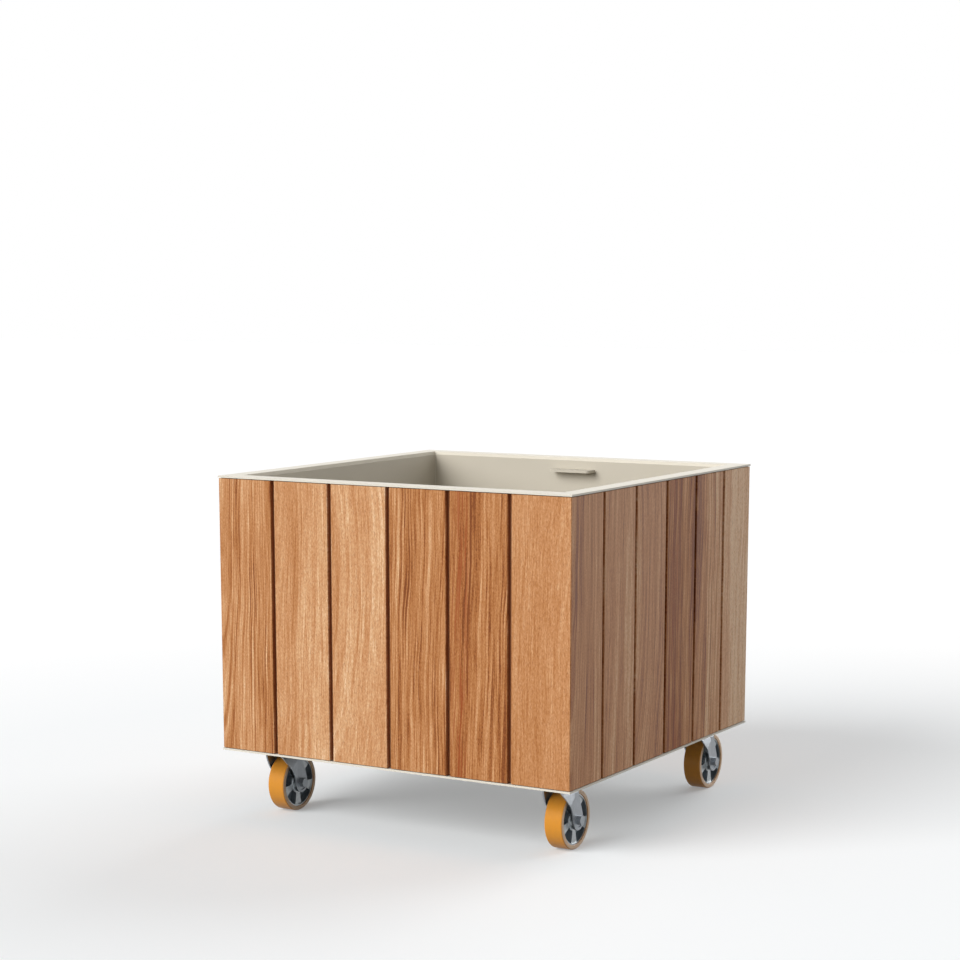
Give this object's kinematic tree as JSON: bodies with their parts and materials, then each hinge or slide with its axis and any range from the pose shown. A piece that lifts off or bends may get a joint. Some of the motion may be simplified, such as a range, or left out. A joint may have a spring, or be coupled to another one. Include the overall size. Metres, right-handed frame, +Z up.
{
  "type": "rolling planter",
  "caption": "Square wood-clad planter box on swivel castors, with a steel casing, top rim and a lift-out liner with lifting lugs.",
  "frame": {"origin": "centre of the planter's footprint on the floor it stands on", "axes": "+Z up, front face towards -Y, +X to the right seen from the front; the castors trail towards +Y at rest"},
  "size_m": [0.85, 0.8615, 0.742],
  "materials": {
    "powder_coated_steel": "satin off-white powder coat",
    "liner_coat": "satin beige powder coat",
    "hardwood": "oiled, planed",
    "zinc_steel": "bright zinc plated",
    "bearing_steel": "ground",
    "cast_aluminium": "die cast",
    "polyurethane": "satin orange-brown polyurethane"
  },
  "bodies": {
    "planter_body": {"top_rim": "powder_coated_steel", "casing": "powder_coated_steel", "base_plate": "powder_coated_steel", "chassis_rails": "powder_coated_steel", "castor_bolts": "zinc_steel", "board_screws": "zinc_steel", "front_board_1": "hardwood", "front_board_2": "hardwood", "front_board_3": "hardwood", "front_board_4": "hardwood", "front_board_5": "hardwood", "front_board_6": "hardwood", "right_board_1": "hardwood", "right_board_2": "hardwood", "right_board_3": "hardwood", "right_board_4": "hardwood", "right_board_5": "hardwood", "right_board_6": "hardwood", "back_board_1": "hardwood", "back_board_2": "hardwood", "back_board_3": "hardwood", "back_board_4": "hardwood", "back_board_5": "hardwood", "back_board_6": "hardwood", "left_board_1": "hardwood", "left_board_2": "hardwood", "left_board_3": "hardwood", "left_board_4": "hardwood", "left_board_5": "hardwood", "left_board_6": "hardwood", "castor_plate_front_left": "zinc_steel", "castor_plate_front_right": "zinc_steel", "castor_plate_rear_left": "zinc_steel", "castor_plate_rear_right": "zinc_steel"},
    "lift_out_liner": {"liner": "liner_coat", "lifting_lugs": "liner_coat"},
    "fork_front_left": {"castor_fork_front_left": "zinc_steel", "castor_balls_front_left": "bearing_steel", "castor_axle_front_left": "zinc_steel"},
    "wheel_front_left": {"castor_wheel_front_left": "cast_aluminium", "castor_tyre_front_left": "polyurethane", "castor_bearings_front_left": "bearing_steel"},
    "fork_front_right": {"castor_fork_front_right": "zinc_steel", "castor_balls_front_right": "bearing_steel", "castor_axle_front_right": "zinc_steel"},
    "wheel_front_right": {"castor_wheel_front_right": "cast_aluminium", "castor_tyre_front_right": "polyurethane", "castor_bearings_front_right": "bearing_steel"},
    "fork_rear_left": {"castor_fork_rear_left": "zinc_steel", "castor_balls_rear_left": "bearing_steel", "castor_axle_rear_left": "zinc_steel"},
    "wheel_rear_left": {"castor_wheel_rear_left": "cast_aluminium", "castor_tyre_rear_left": "polyurethane", "castor_bearings_rear_left": "bearing_steel"},
    "fork_rear_right": {"castor_fork_rear_right": "zinc_steel", "castor_balls_rear_right": "bearing_steel", "castor_axle_rear_right": "zinc_steel"},
    "wheel_rear_right": {"castor_wheel_rear_right": "cast_aluminium", "castor_tyre_rear_right": "polyurethane", "castor_bearings_rear_right": "bearing_steel"}
  },
  "joints": [
    {"name": "liner_lift", "type": "slide", "parent": "planter_body", "child": "lift_out_liner", "axis": [0, 0, 1], "range_m": [0, 0.56]},
    {"name": "swivel_front_left", "type": "hinge", "parent": "planter_body", "child": "fork_front_left", "pos_m": [-0.344, -0.329, 0.14], "axis": [0, 0, 1], "continuous": true},
    {"name": "wheel_spin_front_left", "type": "hinge", "parent": "fork_front_left", "child": "wheel_front_left", "pos_m": [-0.344, -0.284, 0.0625], "axis": [1, 0, 0], "continuous": true},
    {"name": "swivel_front_right", "type": "hinge", "parent": "planter_body", "child": "fork_front_right", "pos_m": [0.344, -0.329, 0.14], "axis": [0, 0, 1], "continuous": true},
    {"name": "wheel_spin_front_right", "type": "hinge", "parent": "fork_front_right", "child": "wheel_front_right", "pos_m": [0.344, -0.284, 0.0625], "axis": [1, 0, 0], "continuous": true},
    {"name": "swivel_rear_left", "type": "hinge", "parent": "planter_body", "child": "fork_rear_left", "pos_m": [-0.344, 0.329, 0.14], "axis": [0, 0, 1], "continuous": true},
    {"name": "wheel_spin_rear_left", "type": "hinge", "parent": "fork_rear_left", "child": "wheel_rear_left", "pos_m": [-0.344, 0.374, 0.0625], "axis": [1, 0, 0], "continuous": true},
    {"name": "swivel_rear_right", "type": "hinge", "parent": "planter_body", "child": "fork_rear_right", "pos_m": [0.344, 0.329, 0.14], "axis": [0, 0, 1], "continuous": true},
    {"name": "wheel_spin_rear_right", "type": "hinge", "parent": "fork_rear_right", "child": "wheel_rear_right", "pos_m": [0.344, 0.374, 0.0625], "axis": [1, 0, 0], "continuous": true}
  ]
}
